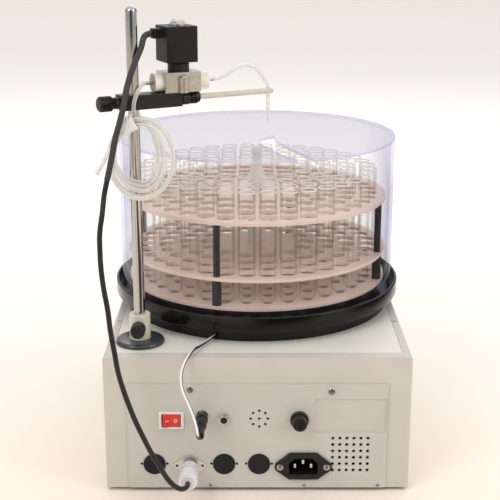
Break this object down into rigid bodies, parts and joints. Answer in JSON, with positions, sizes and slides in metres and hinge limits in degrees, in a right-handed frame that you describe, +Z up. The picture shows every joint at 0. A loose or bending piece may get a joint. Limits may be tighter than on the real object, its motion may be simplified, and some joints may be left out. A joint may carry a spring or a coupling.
{
  "type": "fraction collector",
  "caption": "Benchtop fraction collector: cabinet with a round tube carousel under a clear guard, a swinging drip arm on a column, and a valve with a coiled tube.",
  "frame": {"origin": "on the bench, under the middle of the cabinet, which is also the carousel's axis", "axes": "+Z up along the carousel's axis; -Y is the connector side; +X is to the right when that side is looked at"},
  "size_m": [0.2692, 0.3821, 0.409],
  "materials": {
    "shell": "satin",
    "top": "satin",
    "panel": "satin",
    "pan": "brushed",
    "membrane": "matte",
    "foot_rubber": "matte",
    "screw": "satin",
    "white_plastic": "semi gloss",
    "red_rocker": "gloss",
    "black_plastic": "satin",
    "black_gloss": "gloss",
    "tin": "satin",
    "nickel": "satin",
    "iron": "lacquered",
    "board": "matte",
    "motor": "matte",
    "acetal": "matte",
    "bronze": "satin",
    "steel": "polished",
    "cream_plastic": "satin",
    "black_anodised": "anodised",
    "coil_case": "matte",
    "clear": "clear",
    "disc": "satin",
    "tube_glass": "clear",
    "silicone": "translucent",
    "cable_black": "satin",
    "cable_grey": "matte"
  },
  "bodies": {
    "cabinet": {"base_pan": "pan", "cabinet_shell": "shell", "top_plate": "top", "rear_panel": "panel", "front_panel": "panel", "keypad": "membrane", "feet": "foot_rubber", "case_screws": "screw", "rocker_bezel": "white_plastic", "fuse_holder": "black_plastic", "mains_inlet": "black_plastic", "inlet_pins": "tin", "buzzer": "black_plastic", "jack_sockets": "nickel", "cord_socket": "nickel", "blank_covers": "black_plastic", "transformer": "iron", "main_board": "board", "gear_motors": "motor", "spindle_bearing": "bronze", "column_flange": "black_gloss", "tray": "black_gloss", "jack_plug": "black_plastic", "sensor_lead": "cable_black", "cord_plug": "white_plastic", "solenoid_cord": "cable_grey"},
    "rocker_body": {"rocker": "red_rocker"},
    "fuse_carrier": {"fuse_cap": "black_plastic"},
    "carousel": {"spindle": "steel", "spindle_gear": "acetal", "hub": "white_plastic", "tube_discs": "disc", "posts": "black_plastic", "outer_tubes": "tube_glass", "inner_tubes": "tube_glass", "slot_tubes": "tube_glass"},
    "drive_pinion": {"motor_pinion": "bronze"},
    "arm_pinion": {"swing_pinion": "bronze"},
    "swing_column": {"column_boss": "cream_plastic", "swing_gear": "acetal", "column": "steel", "cord_sleeve": "cable_grey"},
    "height_screw": {"thumb_screw": "black_gloss"},
    "arm": {"arm_bar": "black_anodised", "valve_coil": "coil_case", "valve_nut": "tin", "valve_stem": "black_anodised", "valve_body": "nickel", "valve_fittings": "white_plastic", "valve_spring": "steel", "feed_tube": "silicone", "tube_coil": "silicone", "tube_tie": "white_plastic"},
    "arm_clamp": {"clamp_knob": "black_anodised"},
    "collet": {"collet_nut": "black_anodised"},
    "drip_rod": {"rod": "cream_plastic", "drip_tube": "silicone"},
    "plunger": {"valve_plunger": "steel"},
    "guard": {"guard_drum": "clear", "guard_lid": "clear"}
  },
  "joints": [
    {"name": "carousel_spin", "type": "hinge", "parent": "cabinet", "child": "carousel", "pos_m": [0, 0, 0.12], "axis": [0, 0, 1], "continuous": true},
    {"name": "drive_pinion_spin", "type": "hinge", "parent": "cabinet", "child": "drive_pinion", "pos_m": [0.024, 0.04157, 0.072], "axis": [0, 0, 1], "continuous": true},
    {"name": "column_swing", "type": "hinge", "parent": "cabinet", "child": "swing_column", "pos_m": [-0.1015, -0.125, 0.12], "axis": [0, 0, 1], "range_deg": [-36, 8], "deforming": ["solenoid_cord"]},
    {"name": "arm_pinion_spin", "type": "hinge", "parent": "cabinet", "child": "arm_pinion", "pos_m": [-0.07096, -0.11388, 0.072], "axis": [0, 0, 1], "range_deg": [-20, 83]},
    {"name": "height_screw_turn", "type": "hinge", "parent": "swing_column", "child": "height_screw", "pos_m": [-0.1015, -0.14, 0.14], "axis": [0, -1, 0], "range_deg": [0, 360]},
    {"name": "arm_height", "type": "slide", "parent": "swing_column", "child": "arm", "axis": [0, 0, 1], "range_m": [-0.012, 0.04], "deforming": ["cord_sleeve"]},
    {"name": "arm_clamp_turn", "type": "hinge", "parent": "arm", "child": "arm_clamp", "pos_m": [-0.12575, -0.139, 0.332], "axis": [-0.866, -0.5, 0], "range_deg": [0, 360]},
    {"name": "collet_turn", "type": "hinge", "parent": "arm", "child": "collet", "pos_m": [-0.05127, -0.096, 0.332], "axis": [0.866, 0.5, 0], "range_deg": [0, 180]},
    {"name": "rod_slide", "type": "slide", "parent": "arm", "child": "drip_rod", "axis": [0.866, 0.5, 0], "range_m": [-0.006, 0.008], "deforming": ["drip_tube"]},
    {"name": "plunger_lift", "type": "slide", "parent": "arm", "child": "plunger", "axis": [0, 0, 1], "range_m": [0, 0.002], "stiffness_N_per_m": 400, "springref_m": -0.004, "deforming": ["valve_spring"]},
    {"name": "rocker_tilt", "type": "hinge", "parent": "cabinet", "child": "rocker_body", "pos_m": [-0.0732, -0.1645, 0.0672], "axis": [0, 0, -1], "range_deg": [0, 14]},
    {"name": "fuse_cap_turn", "type": "hinge", "parent": "cabinet", "child": "fuse_carrier", "pos_m": [0.0356, -0.17, 0.0673], "axis": [0, -1, 0], "range_deg": [0, 90]},
    {"name": "guard_lift", "type": "slide", "parent": "cabinet", "child": "guard", "axis": [0, 0, 1], "range_m": [0, 0.015]}
  ],
  "couplings": [
    {"joint": "drive_pinion_spin", "follows": "carousel_spin", "ratio": -3},
    {"joint": "arm_pinion_spin", "follows": "column_swing", "ratio": -2.25}
  ]
}
